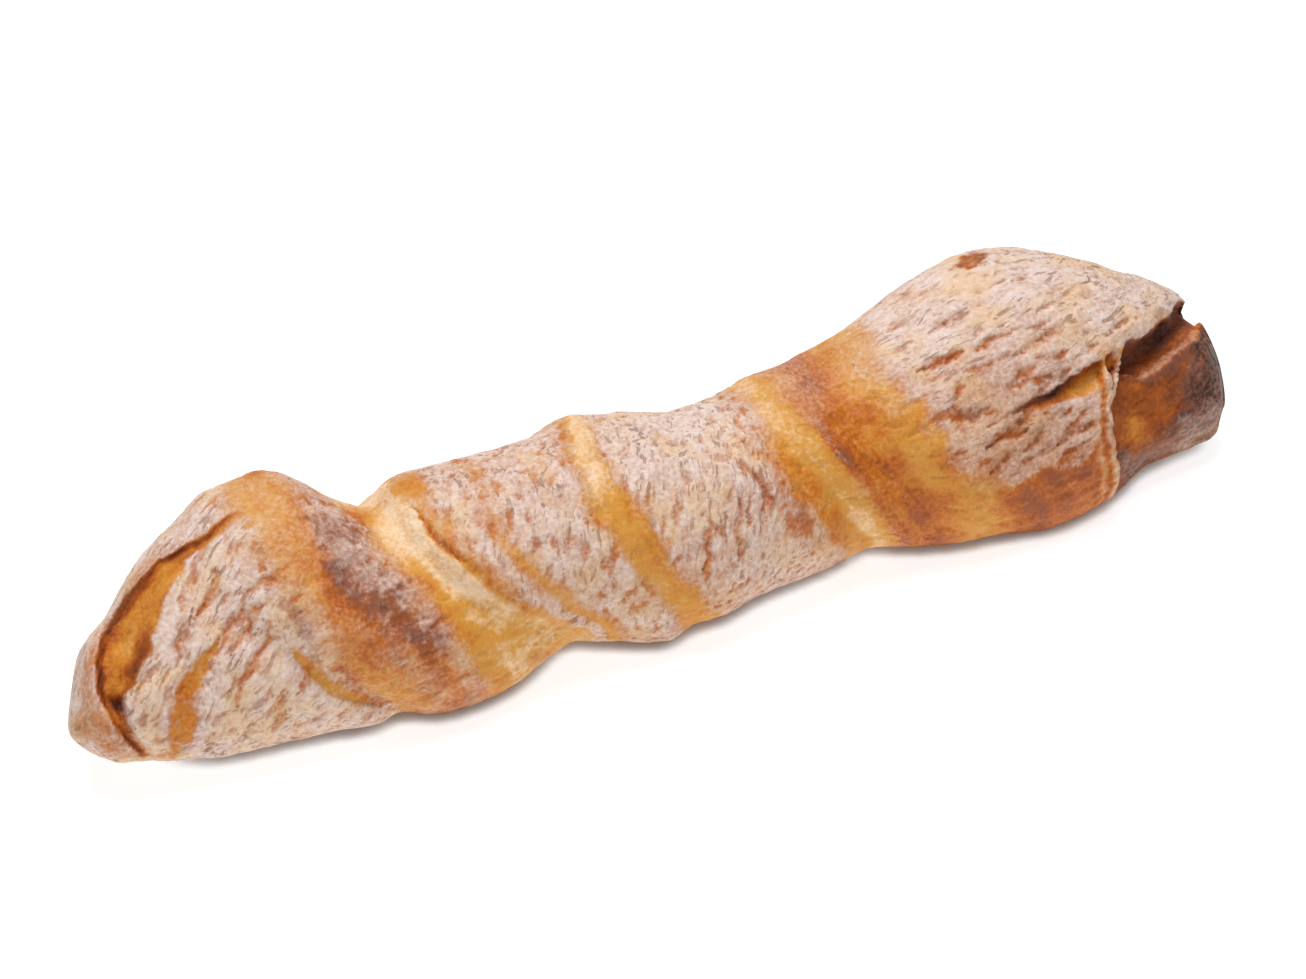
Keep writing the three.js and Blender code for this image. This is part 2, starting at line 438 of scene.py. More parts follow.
@dataclass(frozen=True)
class SlitTear(Tear):
    """The golden slit that runs on from the flap's cavity, with painted shade under its upper edge."""

    least_width: float = 1.0
    added_width: float = 6.2
    depth: float = 3.8
    least_depth: float = 0.8
    floor: Tone = Tone(0.0, 0.36, 0.8)
    raggedness = 1.0

    def width(self, share: Array) -> Array:
        """Width of the slit."""
        return self.least_width + self.added_width * (1.0 - smooth(share, 0.4, 0.95))

    def cut(self, near: Near) -> Array:
        """Depth of the slit.

        Args:
            near: Where the points are from the slit.

        Returns:
            The depth at each point.
        """
        width = self.width(near.share)
        depth = blend(self.depth, self.least_depth, smooth(near.share, 0.2, 1.0))
        trough = between(near.gap, (-0.5, 1.3), (0.4 * width, width))
        return depth * trough * between(near.share, (0.0, 0.1), (0.96, 1.0))

    def paint(self, paint: Paint, near: Near, jitter: Array) -> None:
        """Lays the golden floor, with painted shade along its upper edge, and a darker tone from half way
        along.

        Args:
            paint: The paint so far.
            near: Where the points are from the slit.
            jitter: Unevenness of the edges.
        """
        width = self.width(near.share)
        far_edge = 1.0 - smooth(near.gap + 0.9 * jitter, width - 1.6, width - 0.2)
        inside = smooth(near.gap, -0.5, 0.4) * far_edge * between(near.share, (0.01, 0.08), (0.94, 1.0))
        # Painted shade under the slit's upper edge, and a darker tone from half way along.
        dark = 0.42 * bell(near.gap - 0.3, 1.5) + 0.16 * smooth(near.share, 0.45, 0.6)
        paint.lay(inside, self.floor.uneven(bake=dark + 0.1 * jitter + 0.1 * self.streaks(near)))


@dataclass(frozen=True)
class FlapTear(Tear):
    """The torn flap over the brown lobe of the right end, with a cavity, painted dark as shade, that closes
    along the flap.
    """

    start: float = 108.0
    start_length: float = 4.0
    step: float = 5.5
    cavity: float = 9.2
    cavity_depth: float = 6.5
    groove_depth: float = 1.4
    rim_height: float = 1.2
    roll_height: float = 1.5
    thread_gap: float = 3.6
    thread_depth: float = 0.7
    lobe_end: Span = (152.0, 164.0)
    lobe_foot: Span = (20.5, 26.0)
    lobe_shade: Span = (138.0, 146.0)
    gold_place: tuple[float, float] = (142.5, -19.0)
    gold_radius: float = 5.0
    lobe: Tone = Tone(0.0, 0.62, 1.0)
    lobe_crust: float = 0.1
    # Red-brown crust beside the closed groove, darkened in part as painted shade at the lobe's edge.
    beside: Tone = Tone(0.0, 0.72, 0.5, strength=0.8)
    # Painted shade: the cavity under the flap is painted dark.
    inside: Tone = Tone(0.0, 0.88, 0.4)
    rim: Tone = Tone(0.24, 0.3, strength=0.9)
    roll: Tone = Tone(0.55, 0.4, strength=0.85)
    thread: Tone = Tone(0.05, 0.7, strength=0.85)
    seam: Tone = Tone(0.5, 0.42, strength=0.7)
    raggedness = 1.2

    def at_end(self, along: Array) -> Array:
        """How far points are at the right end, where the flap is."""
        return smooth(along, self.start, self.start + self.start_length)

    def cavity_width(self, share: Array) -> Array:
        """Width of the cavity, from the tip of the loaf to where it closes."""
        return self.cavity * (0.8 + 0.2 * smooth(share, 0.06, 0.2)) * (1.0 - smooth(share, 0.42, 0.56))

    def cut(self, near: Near, along: Array) -> Array:
        """Depth of the lobe below the flap, of the cavity between them and of the groove where it has closed.

        Args:
            near: Where the points are from the flap's edge.
            along: Places along the loaf.

        Returns:
            The depth at each point, below 0 on the rolled edge.
        """
        width = self.cavity_width(near.share)
        opened = smooth(width, 0.5, 3.0)
        lobe = self.step * smooth(near.gap, -0.3, 2.6)
        cavity = self.cavity_depth * bell(near.gap - 0.5 * width, 0.45 * width + 0.4)
        rim = self.rim_height * bell(near.gap - width - 1.4, 1.3)
        groove = self.groove_depth * bell(near.gap - 1.0, 1.3)
        roll = self.roll_height * bell(near.gap + 2.0, 2.0)
        thread = self.thread_depth * bell(near.gap + self.thread_gap, 0.7)
        opening = cavity - rim
        closed = groove + thread - roll
        return (lobe + opening * opened + closed * (1.0 - opened)) * self.at_end(along)

    def paint(self, paint: Paint, near: Near, face: Array, jitter: Array) -> None:
        """Lays the brown lobe, the cavity painted dark as shade and its golden rim, a red-brown strip partly
        darkened as painted shade beside the closed groove, and the pale roll of the flap's edge.

        Args:
            paint: The paint so far.
            near: Where the points are from the flap's edge.
            face: Places along, up and out of the face.
            jitter: Unevenness of the edges.
        """
        gap = near.gap
        at_end = self.at_end(face[:, 0])
        width = self.cavity_width(near.share)
        opened = smooth(width, 0.6, 2.5)
        lobe = smooth(gap, -0.5, 0.7) * at_end
        self._paint_lobe(paint, lobe, gap - width, face, jitter)
        # A red-brown strip beside the closed groove, partly painted shade.
        paint.lay(bell(gap - 1.2, 2.2) * lobe * (1.0 - opened), self.beside)
        # The cavity, painted dark as shade, a little lighter towards its far side.
        in_cavity = lobe * (1.0 - smooth(gap, width - 0.9, width + 0.5)) * opened
        paint.lay(in_cavity, self.inside.uneven(bake=0.1 * jitter - 0.12 * smooth(gap, 0.4 * width, width)))
        inward = smooth(near.share, 0.1, 0.2)
        rim = bell(gap - width - 0.9, 2.0 - 0.8 * inward) * lobe * opened
        paint.lay(rim, self.rim.uneven(0.18 * inward, 0.32 * inward))
        edge = at_end * (1.0 - opened) * (1.0 - lobe)
        paint.lay(bell(gap + 1.6, 1.5) * edge, self.roll.uneven(0.3 * jitter))
        paint.lay(bell(gap + self.thread_gap, 0.8) * edge, self.thread)
        paint.lay(bell(gap + 5.6, 1.2) * edge, self.seam.uneven(0.3 * jitter))

    def _paint_lobe(self, paint: Paint, lobe: Array, below: Array, face: Array, jitter: Array) -> None:
        """Lays the lobe: orange in its middle, purple at its end, painted shade in purple just below the
        cavity, and grey dust at its foot, darkened there as painted shade.

        Args:
            paint: The paint so far.
            lobe: How far each point is on the lobe.
            below: Distance below the cavity.
            face: Places along, up and out of the face.
            jitter: Unevenness of the edges.
        """
        along, up = face[:, 0], face[:, 1]
        far = smooth(along + 4.0 * jitter, *self.lobe_end)
        foot = smooth(-up + 2.5 * jitter + 4.0 * far, *self.lobe_foot)
        gold = bell(np.hypot(along - self.gold_place[0], up - self.gold_place[1]), self.gold_radius)
        # Painted shade just below the cavity, laid as purple.
        shade = (1.0 - smooth(below + 2.0 * jitter, 2.5, 8.0)) * smooth(along, *self.lobe_shade)
        purple = np.maximum(far, 0.8 * shade)
        # The foot is floured and darkened as painted shade near the floor.
        darker = 0.32 * purple - 0.18 * gold + foot * (0.2 - 0.3 * purple) + 0.1 * jitter
        paint.lay(lobe, self.lobe.uneven(0.1 * purple + 0.27 * foot, darker))
        paint.lay(lobe * np.maximum(purple, foot), Tone(paint.flour, paint.bake, self.lobe_crust))


@dataclass(frozen=True)
class Surface:
    """The moved crust: its points, and what the painting needs to know at each of them."""

    points: Array
    face: Array
    count: Array
    across: Array
    carried: Array
    front: Array
    left: Near
    right: Near
    slit: Near
    split: Array
    split_tone: Tone
    bridge: Array
    net: Array
    lie: Array


@dataclass
class LoafForm:
    """Form of the loaf, in millimetres: the same sizes as the solid, with finer creases, tears and cracks."""

    length: float
    tip_length: float = 11.0
    tip_share: float = 0.06
    axis_height: float = 27.0
    ring_lean: float = 14.0
    lean_fade: Span = (85.0, 145.0)
    front_depth: float = 9.0
    fade_advance: float = 110.0
    first_count: int = -4
    back_blend: Span = (0.1, 0.9)
    fold_fade: Span = (-0.25, 0.1)
    crack_sway: float = 1.2
    strand_sway: float = 0.4
    strand_fill: float = 0.9
    net_depth: float = 0.6
    net_sway: float = 1.2
    net_edge: Span = (0.22, 0.5)
    least_share: float = 1e-6
    swell_height: float = 0.7
    bump_height: float = 0.3
    torn_grain: Grain = Grain(37.2, (6.0, 5.0, 5.0), 3)
    net_grain: Grain = Grain(47.9, (9.0, 2.6, 2.6))
    sway_grain: Grain = Grain(83.1, (9.0, 9.0, 9.0))
    swell_grain: Grain = Grain(11.3, (26.0, 18.0, 18.0))
    bump_grain: Grain = Grain(5.7, (4.5, 4.5, 4.5), 3)
    stations: tuple[Station, ...] = (
        Station(-180, 7, 12, -10),
        Station(-169, 16.8, 16.5, -4.6),
        Station(-160, 21.2, 18.7, -3),
        Station(-151, 26.8, 21, 0),
        Station(-134, 33.6, 24.5, 3.8),
        Station(-124, 36.2, 26, 6),
        Station(-116, 36.3, 27, 5.2),
        Station(-101, 36.4, 28.5, 3.8),
        Station(-84, 34.6, 29.5, -1.3),
        Station(-59, 33.6, 29.5, -2.4),
        Station(-31, 30.2, 29, 0.5),
        Station(-1, 33.5, 29, -3.2),
        Station(14, 30, 28.5, -3.6),
        Station(22, 29.6, 28.2, -2.2),
        Station(32, 30.6, 28, -0.4),
        Station(49, 30.4, 28, 0),
        Station(58, 32.4, 28, 1),
        Station(71, 32.9, 28.5, 0.6),
        Station(81, 36.2, 29, 0.3),
        Station(96, 38.5, 29.5, 3.3),
        Station(115, 41.5, 29.5, 3),
        Station(133, 38.4, 28, 2.1),
        Station(149, 31.2, 25, 0.9),
        Station(157, 28.3, 23.2, -1.4),
        Station(163, 26.6, 21.6, -2.6),
        Station(167.5, 24.8, 20.4, -4),
        Station(171.6, 23.3, 19.5, -5.4),
        Station(172.6, 22.9, 19.2, -5.7),
        Station(174, 17.1, 18.6, -10),
        Station(175.3, 17.4, 18.2, -9.3),
        Station(177, 18.6, 17.6, -8.1),
        Station(178.5, 22.3, 17.5, -6.4),
        Station(180, 19.5, 18, -6.5),
    )
    creases: tuple[Crease, ...] = (
        Crease(-182, 15, 20, 0, 0, 8, 8),
        Crease(-132, 20, 24, 0, 3.5, 6, 7),
        Crease(-71, 22.75, 13.75, 6.8, 2, 16, 6),
        Crease(-21, 9, 13, -2.5, 3, 6, 7),
        Crease(39, 14, 7, 3, 3.5, 9, 8),
        Crease(60, 11, 10, 2.5, 2.5, 9, 10),
    )
    folds: tuple[Crease, ...] = (
        Crease(-110, 8, 11, 3, 1, 13, 10),
        Crease(78, 11, 4, 1, 1, 9, 14),
    )
    left_tear: CrescentTear = CrescentTear(
        (
            (-112, -38), (-131, -31), (-146, -26.5), (-159, -18), (-167, -10),
            (-172, 1), (-171.5, 9), (-168, 16.5), (-163, 24),
        )
    )
    right_tear: FlapTear = FlapTear(
        (
            (186, -19), (172, -13.5), (155, -7.5), (144, -4.8), (138, 0),
            (134.5, 8), (133, 17), (134, 30), (136, 46),
        )
    )
    slit: SlitTear = SlitTear(
        ((141, -5), (134, -3.6), (127.6, -2), (121, -0.6), (115, 1.3), (105, 2.7), (97, 4))
    )
    strands: tuple[Strand, ...] = (
        Strand(((135.4, -4.5), (134.6, 2), (133.6, 9))),
        Strand(((142.2, -5), (139, 1.5), (135.5, 7))),
    )
    cracks: tuple[Crack, ...] = (
        Crack(((-128, -10), (-140, 3)), 0.8, 1.6, 0.66),
        Crack(((-118.4, -15), (-128.6, -12.2)), 0.8, 1.3, 0.64),
        Crack(((-122.8, -8.9), (-129.4, -3.3), (-135.4, 3.5)), 0.9, 1.5, 0.64),
        Crack(((-131.5, 6.5), (-138.4, 17.3)), 0.9, 1.5, 0.64),
        Crack(((-124.4, 17.8), (-126.9, 25.4)), 0.8, 1.5, 0.5),
        Crack(((-134.9, -25.1), (-145.2, -13)), 0.8, 1.2, 0.66),
        Crack(((-131.5, -20.4), (-142.7, -7.7)), 0.8, 1.2, 0.66),
        Crack(((-113.3, 11.6), (-120.1, 18.8)), 0.8, 1.3, 0.62),
        Crack(((-138, -2.5), (-144.7, 4), (-150.8, 10.8), (-154, 18), (-156, 26)), 1.6, 2.8, 0.5, 0.14),
        Crack(((-142, -12), (-152, 2)), 0.8, 1.4, 0.7),
        Crack(((-124, 0), (-133, 11)), 0.9, 1.4, 0.7),
        Crack(((-119.5, 5.5), (-113.9, 14), (-108.4, 21.5), (-96, 29)), 1.1, 1.9, 0.34, 0.06),
        Crack(((-109, 13), (-105.2, 17.8), (-102.8, 21.6), (-97.3, 27.1), (-92, 31)), 0.7, 1.7, 0.78),
        Crack(((81, -15), (94, -18)), 1.4, 1.4),
        Crack(((88, -26), (101, -28)), 0.9, 1.3),
        Crack(((84, 1), (97, 0)), 1.2, 1.5),
        Crack(((92, 10), (106, 9)), 1.3, 1.3),
        Crack(((112, 16), (126, 12)), 0.9, 1.3),
        Crack(((98, -16), (105, -19)), 0.8, 1.3),
        Crack(((106, -5), (114, -8)), 0.8, 1.3),
        Crack(((116, -1), (124, -4)), 0.8, 1.2),
        Crack(((98, 9), (107, 5)), 0.9, 1.4),
        Crack(((104, 15.5), (112, 11.5)), 0.9, 1.4),
        Crack(((92, 18), (101, 14)), 0.9, 1.4),
        Crack(((113, 22), (123, 17.5)), 0.9, 1.4),
        Crack(((118, -20), (142, -27)), 0.9, 1.2, flour=0.5),
        Crack(((104, -12), (124, -14)), 0.8, 1.2, flour=0.45),
        Crack(((-72.5, -22), (-69.9, -9.5), (-65.5, -2.5)), 1.1, 1.0, 0.74, 0.2),
        Crack(((-68, -6), (-64.5, -1), (-59.4, 6.9), (-51, 16)), 0.8, 1.3, 0.58, 0.2),
        Crack(((5, 4), (10, 14)), 0.7, 1.2),
        Crack(((22, -5), (27, 8)), 0.9, 1.3),
        Crack(((18, 0), (12, 20)), 0.8, 1.4),
        Crack(((25, 4), (20, 15)), 0.7, 1.2),
        Crack(((6, 8), (2, 20)), 0.7, 1.2),
    )
    lies: tuple[tuple[float, float], ...] = (
        (-3.0, 46), (-0.8, 46), (-0.4, 55), (0.1, 72),
        (2.0, 72), (2.6, 40), (3.12, 10), (6.0, 14),
    )

    def ring(self, share: Array) -> tuple[Array, Array]:
        """Rings of the loaf, which close to a round tip at both ends.

        Args:
            share: Share along the rings, 0 at the left tip.

        Returns:
            The place of each ring along the loaf, and its share of the full girth.
        """
        nearest = np.minimum(share, 1.0 - share)
        turn = np.clip(nearest / self.tip_share, 0.0, 1.0) * math.pi / 2.0
        half = self.length / 2.0
        inner = half - self.tip_length
        middle = blend(-inner, inner, (share - self.tip_share) / (1.0 - 2.0 * self.tip_share))
        tip = np.sign(share - 0.5) * (half - self.tip_length * (1.0 - np.cos(turn)))
        in_tip = nearest < self.tip_share
        return np.where(in_tip, tip, middle), np.where(in_tip, np.sin(turn), 1.0)

    def girth(self, x: Array) -> tuple[Array, Array, Array]:
        """Girth of the loaf.

        Args:
            x: Places along the loaf.

        Returns:
            The half width, the half depth and the shift up the face at each place.
        """
        places = np.array([station.x for station in self.stations], dtype=float)
        table = np.array([(s.width, s.depth, s.shift) for s in self.stations])
        width, depth, shift = (curve_through(places, table[:, i], x) for i in range(3))
        return width, depth, shift

    @staticmethod
    def behind(angle: Array) -> Array:
        """How far round the back points are: 0 on the front, then 0 at the foot to 1 at the top outline."""
        return np.where(np.sin(angle) >= 0.0, 0.0, (1.0 + np.cos(angle)) / 2.0)

    def twist(self, x: Array, angle: Array) -> tuple[Array, Array]:
        """Creases of the twist, each of which goes on round the back into the next but one.

        Args:
            x: Places along the loaf.
            angle: Angles round it, from the top outline over the front.

        Returns:
            The depth that they cut, and the count of them, which is a whole number on each crease.
        """
        across = -np.cos(angle)
        in_front = np.sin(angle) >= 0.0
        behind = self.behind(angle)
        rows = self._turns()
        cut = np.zeros_like(x)
        count = np.full_like(x, self.first_count - 1.0)
        last_line = np.full_like(x, self.creases[0].middle - 2.0 * self.fade_advance)
        for number, (crease, following) in enumerate(zip(rows, rows[CREASES_A_TURN:]), self.first_count):
            line = blend(crease.line(across), following.line(across), behind)
            depth = np.where(in_front, crease.depth(across), blend(crease.bottom, following.top, behind))
            gap = x - line
            cut += depth * bell(gap, blend(crease.flank(gap), following.flank(gap), behind))
            part = (x - last_line) / (line - last_line)
            count = np.where((part >= 0.0) & (part < 1.0), number - 1.0 + part, count)
            last_line = line
        last_number = self.first_count + len(rows) - CREASES_A_TURN - 1
        past = (x - last_line) / (self.fade_advance / CREASES_A_TURN)
        return cut, np.where(past >= 0.0, last_number + past, count)

    def _turns(self) -> list[Crease]:
        """The creases, with the shallow ones before and after them that the twist comes from and goes to.

        Returns:
            All of them, from left to right.
        """
        before = [self._faded(crease, -1.0) for crease in self.creases[:CREASES_A_TURN]]
        after = [self._faded(crease, 1.0) for crease in self.creases[-CREASES_A_TURN:]]
        return [*before, *self.creases, *after, *(self._faded(crease, 1.0) for crease in after)]

    def _faded(self, crease: Crease, way: float) -> Crease:
        """Where a crease that runs out behind an end of the loaf would come up, one turn that way."""
        return replace(crease, middle=crease.middle + way * self.fade_advance, top=0.0, bottom=0.0)

    def fold_rise(self, x: Array, angle: Array) -> Array:
        """Height of the folded edges, which fade out towards the back.

        Args:
            x: Places along the loaf.
            angle: Angles round it, from the top outline over the front.

        Returns:
            The height at each place.
        """
        across = -np.cos(angle)
        rise = np.zeros_like(x)
        for fold in self.folds:
            gap = x - fold.line(across)
            rise += fold.depth(across) * bell(gap, fold.flank(gap))
        return rise * smooth(np.sin(angle), *self.fold_fade)

    def split(self, along: Array, down: Array) -> tuple[Array, Tone]:
        """Wide cracks in the floured faces.

        Args:
            along: Places along the loaf.
            down: Places down the face.

        Returns:
            Their depth, and their flour and bake.
        """
        shares = np.array([crack.share(along, down) for crack in self.cracks])
        table = np.array([(crack.depth, crack.flour, crack.bake) for crack in self.cracks])
        depth, flour, bake = table.T @ shares
        total = np.maximum(shares.sum(axis=0), self.least_share)
        return depth, Tone(flour / total, bake / total)

    def lie(self, count: Array) -> Array:
        """Direction of the cracks in the flour from the loaf's length, in radians, at places in the count."""
        places, degrees = np.array(self.lies).T
        return np.radians(np.interp(count, places, degrees))

    def surface(self, share: Array, angle: Array) -> Surface:
        """The whole crust.

        Args:
            share: Share along the rings of the ball that the crust is drawn from, 0 at the left tip.
            angle: Angles round it, from the top outline over the front.

        Returns:
            The crust's points and what the painting needs at each.
        """
        ring_x, full = self.ring(share)
        x = ring_x - self.ring_lean * (1.0 - smooth(np.abs(ring_x), *self.lean_fade)) * np.cos(angle)
        width, depth, shift = self.girth(x)
        cut, count = self.twist(x, angle)
        relief = self.fold_rise(x, angle) - cut
        up = (width + relief) * full * np.cos(angle) + shift
        out = (depth + relief) * full * np.sin(angle)
        front = smooth(out, 0.0, self.front_depth)
        uneven = self.torn_grain.lumps(np.stack([x, up, out], axis=1))
        left = self.left_tear.nearest(x, -up, uneven)
        right = self.right_tear.nearest(x, -up, uneven)
        slit = self.slit.nearest(x, -up, uneven)
        split, split_tone = self.split(x + self.crack_sway * uneven, -up + self.crack_sway * uneven)
        bridge = np.max([strand.share(x + self.strand_sway * uneven, -up) for strand in self.strands], axis=0)
        bridged = (self.right_tear.cut(right, x) + self.slit.cut(slit)) * (1.0 - self.strand_fill * bridge)
        out = out - (self.left_tear.cut(left) + bridged + split) * front
        face = np.stack([x, up, out], axis=1)
        carried = smooth(self.behind(angle), *self.back_blend)
        lie = blend(self.lie(count), self.lie(count + CREASES_A_TURN), carried)
        net = self.flour_net(face, lie)
        rough = (self.roughness(face) - self.net_depth * net) * full
        return Surface(
            points=self._laid(x, up + rough * np.cos(angle), out + rough * np.sin(angle)),
            face=face,
            count=count,
            across=-np.cos(angle),
            carried=carried,
            front=front,
            left=left,
            right=right,
            slit=slit,
            split=split * front,
            split_tone=split_tone,
            bridge=bridge * front,
            net=net,
            lie=lie,
        )

    def _laid(self, x: Array, up: Array, out: Array) -> Array:
        """The loaf laid down on its flattened underside.

        Args:
            x: Places along the loaf.
            up: Places up its face.
            out: Places out of its face.

        Returns:
            The points, one row each.
        """
        y = up * math.cos(FACE_TILT) - out * math.sin(FACE_TILT)
        z = self.axis_height + up * math.sin(FACE_TILT) + out * math.cos(FACE_TILT)
        return np.stack([x, y, np.maximum(z, 0.0)], axis=1)

    def flour_net(self, face: Array, lie: Array) -> Array:
        """Fine cracks in the floured crust, longest along the lie.

        Args:
            face: Places along, up and out of the face.
            lie: Direction of the cracks at each place.

        Returns:
            How far each place is in a crack.
        """
        along = face[:, 0] * np.cos(lie) + face[:, 1] * np.sin(lie)
        aside = face[:, 1] * np.cos(lie) - face[:, 0] * np.sin(lie)
        aside = aside + self.net_sway * self.sway_grain.lumps(face)
        return smooth(-self.net_grain.lumps(np.stack([along, aside, face[:, 2]], axis=1)), *self.net_edge)

    def roughness(self, face: Array) -> Array:
        """Height of the dough's unevenness, from broad swells to fine bumps."""
        swell = self.swell_height * self.swell_grain.lumps(face)
        return swell + self.bump_height * self.bump_grain.lumps(face)


@dataclass
class CrustPainter:
    """Where the crust is floured, how dark it is baked, with painted shade laid into the same bake, and where
    the crumb shows.
    """

    form: LoafForm
    edge_grain: Grain = Grain(29.4, (9.0, 7.0, 7.0), 4)
    patch_grain: Grain = Grain(61.8, (16.0, 12.0, 12.0), 3)
    speck_grain: Grain = Grain(13.9, (1.6, 1.6, 1.6))
    streak_grain: Grain = Grain(13.9, (2.2, 24.0, 1.0))
    unrolled: float = 45.0
    ridge_rise: Span = (-1.25, -0.85)
    ridge_fall: Span = (-0.2, 0.02)
    ridge_lean: float = 0.13
    ridge_bend: float = 0.26
    edge_reach: float = 0.75
    bare_foot: Span = (0.56, 0.66)
    bare_foot_count: Span = (3.12, 3.22)
    bare_share: float = 0.92
    net_thinning: float = 0.3
    net_browning: float = 0.12
    dust_speckle: float = 0.3
    crack_cover: float = 0.9
    strand: Tone = Tone(0.5, 0.36, strength=0.9)
    # Painted shade: the crust is darker and dustier where it comes down near the floor.
    underside: Tone = Tone(0.35, 0.62, strength=0.7)
    underside_shade_height: Span = (1.0, 4.0)
    bands: tuple[Band, ...] = (
        Band(-3.0, (80, 80, 75), (50, 50, 50)),
        Band(-1.25, (80, 78, 76), (50, 50, 50)),
        Band(-0.80, (72, 74, 70), (46, 50, 44)),
        Band(-0.74, (56, 52, 40), (42, 46, 46)),
        Band(-0.68, (30, 44, 20), (38, 46, 46)),
        Band(-0.645, (30, 38, 20), (38, 50, 48)),
        Band(-0.615, (30, 24, 20), (38, 58, 55)),
        Band(-0.57, (30, 24, 24), (42, 61, 55)),
        Band(-0.50, (28, 18, 30), (46, 68, 52)),
        Band(-0.44, (32, 21, 46), (44, 78, 50)),
        Band(-0.37, (48, 20, 34), (42, 83, 58)),
        Band(-0.30, (56, 32, 20), (56, 84, 62)),
        Band(-0.24, (55, 45, 38), (60, 82, 58)),
        Band(-0.18, (54, 45, 44), (58, 68, 50)),
        Band(-0.10, (38, 24, 6), (48, 50, 44)),
        Band(-0.05, (20, 10, 3), (28, 34, 36)),
        Band(0.00, (22, 19, 20), (13, 17, 26)),
        Band(0.07, (30, 28, 22), (5, 6, 26)),
        Band(0.13, (34, 32, 28), (6, 9, 27)),
        Band(0.175, (32, 24, 20), (42, 46, 44)),
        Band(0.23, (60, 40, 66), (46, 52, 44)),
        Band(0.29, (72, 64, 56), (48, 50, 44)),
        Band(0.34, (74, 52, 8), (50, 48, 40)),
        Band(0.41, (66, 17, 36), (46, 44, 45)),
        Band(0.48, (48, 60, 60), (44, 50, 48)),
        Band(0.56, (70, 70, 62), (50, 52, 48)),
        Band(0.88, (72, 68, 60), (48, 50, 46)),
        Band(0.94, (50, 34, 26), (38, 46, 46)),
        Band(0.985, (26, 6, 5), (10, 34, 42)),
        Band(1.07, (28, 4, 5), (12, 42, 46)),
        Band(1.12, (60, 16, 24), (40, 48, 46)),
        Band(1.18, (80, 60, 56), (48, 52, 48)),
        Band(1.50, (90, 74, 68), (50, 52, 48)),
        Band(1.80, (84, 64, 56), (50, 52, 46)),
        Band(1.90, (68, 23, 6), (46, 52, 50)),
        Band(1.95, (62, 11, 4), (40, 50, 44)),
        Band(2.00, (54, 8, 13), (32, 39, 24)),
        Band(2.05, (38, 5, 14), (20, 30, 20)),
        Band(2.18, (22, 5, 9), (24, 29, 25)),
        Band(2.30, (26, 8, 14), (34, 32, 44)),
        Band(2.40, (34, 14, 26), (48, 42, 66)),
        Band(2.48, (34, 20, 12), (50, 60, 62)),
        Band(2.55, (36, 28, 5), (56, 76, 60)),
        Band(2.64, (36, 10, 3), (60, 63, 60)),
        Band(2.80, (34, 3, 2), (60, 58, 62)),
        Band(2.95, (28, 2, 2), (54, 60, 66)),
        Band(3.04, (26, 2, 2), (42, 56, 62)),
        Band(3.09, (34, 4, 2), (34, 44, 46)),
        Band(3.135, (44, 7, 4), (32, 38, 38)),
        Band(3.165, (52, 26, 10), (40, 42, 40)),
        Band(3.205, (74, 58, 24), (48, 50, 48)),
        Band(3.30, (82, 57, 46), (50, 60, 62)),
        Band(3.56, (86, 55, 46), (50, 62, 62)),
        Band(3.87, (90, 66, 50), (50, 60, 62)),
        Band(6.0, (90, 66, 46), (50, 58, 58)),
    )
    patches: tuple[Patch, ...] = (
        Patch(111.5, -41.3, 4.8, 2.0, 10.0, 0.20, 0.76),
        Patch(133.0, -41.0, 2.6, 1.2, 0.0, 0.40, 0.80),
        Patch(-115.0, 3.0, 8.0, 2.6, -73.0, 0.50, 0.74),
        Patch(-70.0, -28.0, 5.0, 2.6, 0.0, 0.28, 0.46),
        Patch(-153.5, 18.5, 7.0, 4.0, 66.0, 0.14, 0.50),
        Patch(-109.0, -44.5, 10.0, 1.6, 0.0, 0.22, 0.76),
        Patch(-96.6, -17.0, 13.0, 6.0, -72.0, 0.48, 0.76),
        Patch(32.2, 11.5, 9.0, 3.6, -69.0, 0.36, 0.66),
        Patch(-87.0, 10.0, 9.0, 2.6, -64.0, 0.12, 0.84),
        Patch(-100.5, -9.0, 8.0, 2.6, -76.0, 0.30, 0.84),
    )

    def masks(self, crust: Surface) -> dict[Mask, Array]:
        """Every mask of the crust.

        Args:
            crust: The moved crust.

        Returns:
            One value for each point, by mask.
        """
        jitter = self.edge_grain.lumps(crust.face)
        blotch = self.patch_grain.lumps(crust.face)
        paint = self._twisted(crust, jitter, blotch)
        netted = crust.net * smooth(paint.flour, 0.25, 0.6)
        paint.flour = paint.flour - self.net_thinning * netted
        paint.bake = paint.bake + self.net_browning * netted
        speck = self.speck_grain.lumps(crust.face)
        dusted = smooth(paint.bake, 0.6, 0.75) * smooth(paint.flour, 0.12, 0.3)
        paint.flour = paint.flour + self.dust_speckle * speck * dusted
        crack_tone = crust.split_tone.uneven(0.2 * jitter + 0.3 * speck, 0.1 * jitter - 0.14 * speck)
        paint.lay(np.minimum(self.crack_cover * crust.split, 1.0), crack_tone)
        for patch in self.patches:
            spot = patch.share(crust.face, jitter) * crust.front
            paint.lay(spot, patch.tone().uneven(0.25 * jitter + 0.15 * speck, 0.06 * blotch))
        self._tears(paint, crust, jitter)
        # Painted shade near the floor, where the loaf meets it.
        under = 1.0 - smooth(crust.points[:, 2] + 1.2 * jitter, *self.underside_shade_height)
        paint.lay(under, self.underside)
        return {
            Mask.FLOUR: np.clip(paint.flour, 0.0, 1.0),
            Mask.BAKE_AND_SHADE: np.clip(paint.bake, 0.0, 1.0),
            Mask.CRUMB: np.clip(paint.crumb, 0.0, 1.0),
            Mask.LIE: crust.lie,
        }

